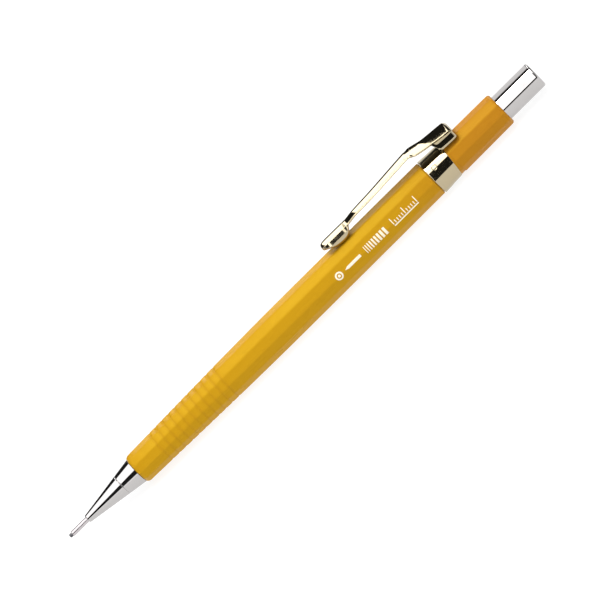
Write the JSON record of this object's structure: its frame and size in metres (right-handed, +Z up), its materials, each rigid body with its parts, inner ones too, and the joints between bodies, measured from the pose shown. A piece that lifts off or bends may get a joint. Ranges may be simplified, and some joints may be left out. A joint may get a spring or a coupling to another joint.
{
  "type": "mechanical pencil",
  "caption": "Push-button mechanical pencil with a faceted yellow barrel, grooved grip, steel cone tip and pipe, sprung pocket clip on a band, and a plated push cap over an eraser.",
  "frame": {"origin": "under the middle of the pencil's length, at the lowest point of the clip band, where the pencil lies on a flat surface", "axes": "+X along the pencil to the push cap, -X to the writing tip, +Z up through the clip"},
  "size_m": [0.147, 0.0094, 0.0136],
  "materials": {
    "body_plastic": "satin yellow-orange moulded plastic",
    "chrome": "bright plated brass",
    "clip_plating": "bright plated spring steel",
    "pipe_steel": "drawn steel",
    "spring_steel": "wire",
    "brass": "turned",
    "retainer_rubber": "matte",
    "dark_plastic": "moulded",
    "tube_plastic": "translucent natural",
    "graphite": "dull grey-black",
    "eraser_vinyl": "matte white"
  },
  "bodies": {
    "body": {"barrel": "body_plastic", "spring_sleeve": "dark_plastic", "return_spring": "spring_steel"},
    "tip": {"tip_cone": "chrome", "lead_sleeve": "pipe_steel", "lead_retainer": "retainer_rubber"},
    "clutch": {"clutch_ring": "brass"},
    "lead": {"writing_lead": "graphite"},
    "mechanism": {"chuck_stem": "brass", "tube_coupler": "dark_plastic", "lead_tube": "tube_plastic"},
    "jaw_1": {"chuck_jaw_1": "brass"},
    "jaw_2": {"chuck_jaw_2": "brass"},
    "jaw_3": {"chuck_jaw_3": "brass"},
    "spares": {"spare_lead_1": "graphite", "spare_lead_2": "graphite", "spare_lead_3": "graphite"},
    "eraser": {"eraser": "eraser_vinyl", "cleaning_pin": "pipe_steel"},
    "cap": {"push_cap": "chrome"},
    "band": {"clip_band": "clip_plating"},
    "clip": {"clip_arm": "clip_plating"}
  },
  "joints": [
    {"name": "tip_off", "type": "slide", "parent": "body", "child": "tip", "axis": [-1, 0, 0], "range_m": [0, 0.022]},
    {"name": "push", "type": "slide", "parent": "body", "child": "mechanism", "axis": [-1, 0, 0], "range_m": [0, 0.0026], "stiffness_N_per_m": 900, "springref_m": -0.002, "deforming": ["return_spring"]},
    {"name": "clutch_travel", "type": "slide", "parent": "body", "child": "clutch", "axis": [-1, 0, 0], "range_m": [0, 0.00122]},
    {"name": "lead_feed", "type": "slide", "parent": "body", "child": "lead", "axis": [-1, 0, 0], "range_m": [-0.00085, 0.005]},
    {"name": "spare_leads_slide", "type": "slide", "parent": "mechanism", "child": "spares", "axis": [1, 0, 0], "range_m": [0, 0.008]},
    {"name": "cap_off", "type": "slide", "parent": "mechanism", "child": "cap", "axis": [1, 0, 0], "range_m": [0, 0.018]},
    {"name": "eraser_out", "type": "slide", "parent": "mechanism", "child": "eraser", "axis": [1, 0, 0], "range_m": [0, 0.0091]},
    {"name": "clip_turn", "type": "hinge", "parent": "body", "child": "band", "pos_m": [0.0439, 0, 0.00468], "axis": [1, 0, 0], "continuous": true},
    {"name": "clip_flex", "type": "hinge", "parent": "band", "child": "clip", "pos_m": [0.0505, 0, 0.01038], "axis": [0, 1, 0], "range_deg": [0, 6], "stiffness_Nm_per_rad": 0.3, "springref_deg": -1.72},
    {"name": "jaw_1_open", "type": "hinge", "parent": "mechanism", "child": "jaw_1", "pos_m": [-0.0494, 0, 0.00543], "axis": [0, 1, 0], "range_deg": [0, 2.3]},
    {"name": "jaw_2_open", "type": "hinge", "parent": "mechanism", "child": "jaw_2", "pos_m": [-0.0494, 0.00065, 0.0043], "axis": [0, -0.5, -0.866], "range_deg": [0, 2.3]},
    {"name": "jaw_3_open", "type": "hinge", "parent": "mechanism", "child": "jaw_3", "pos_m": [-0.0494, -0.00065, 0.0043], "axis": [0, -0.5, 0.866], "range_deg": [0, 2.3]}
  ],
  "couplings": [
    {"joint": "clutch_travel", "follows": "push", "ratio": 0.46},
    {"joint": "eraser_out", "follows": "cap_off", "ratio": 0.5},
    {"joint": "jaw_1_open", "follows": "push", "rad_per_m": 14.768},
    {"joint": "jaw_2_open", "follows": "push", "rad_per_m": 14.768},
    {"joint": "jaw_3_open", "follows": "push", "rad_per_m": 14.768}
  ]
}
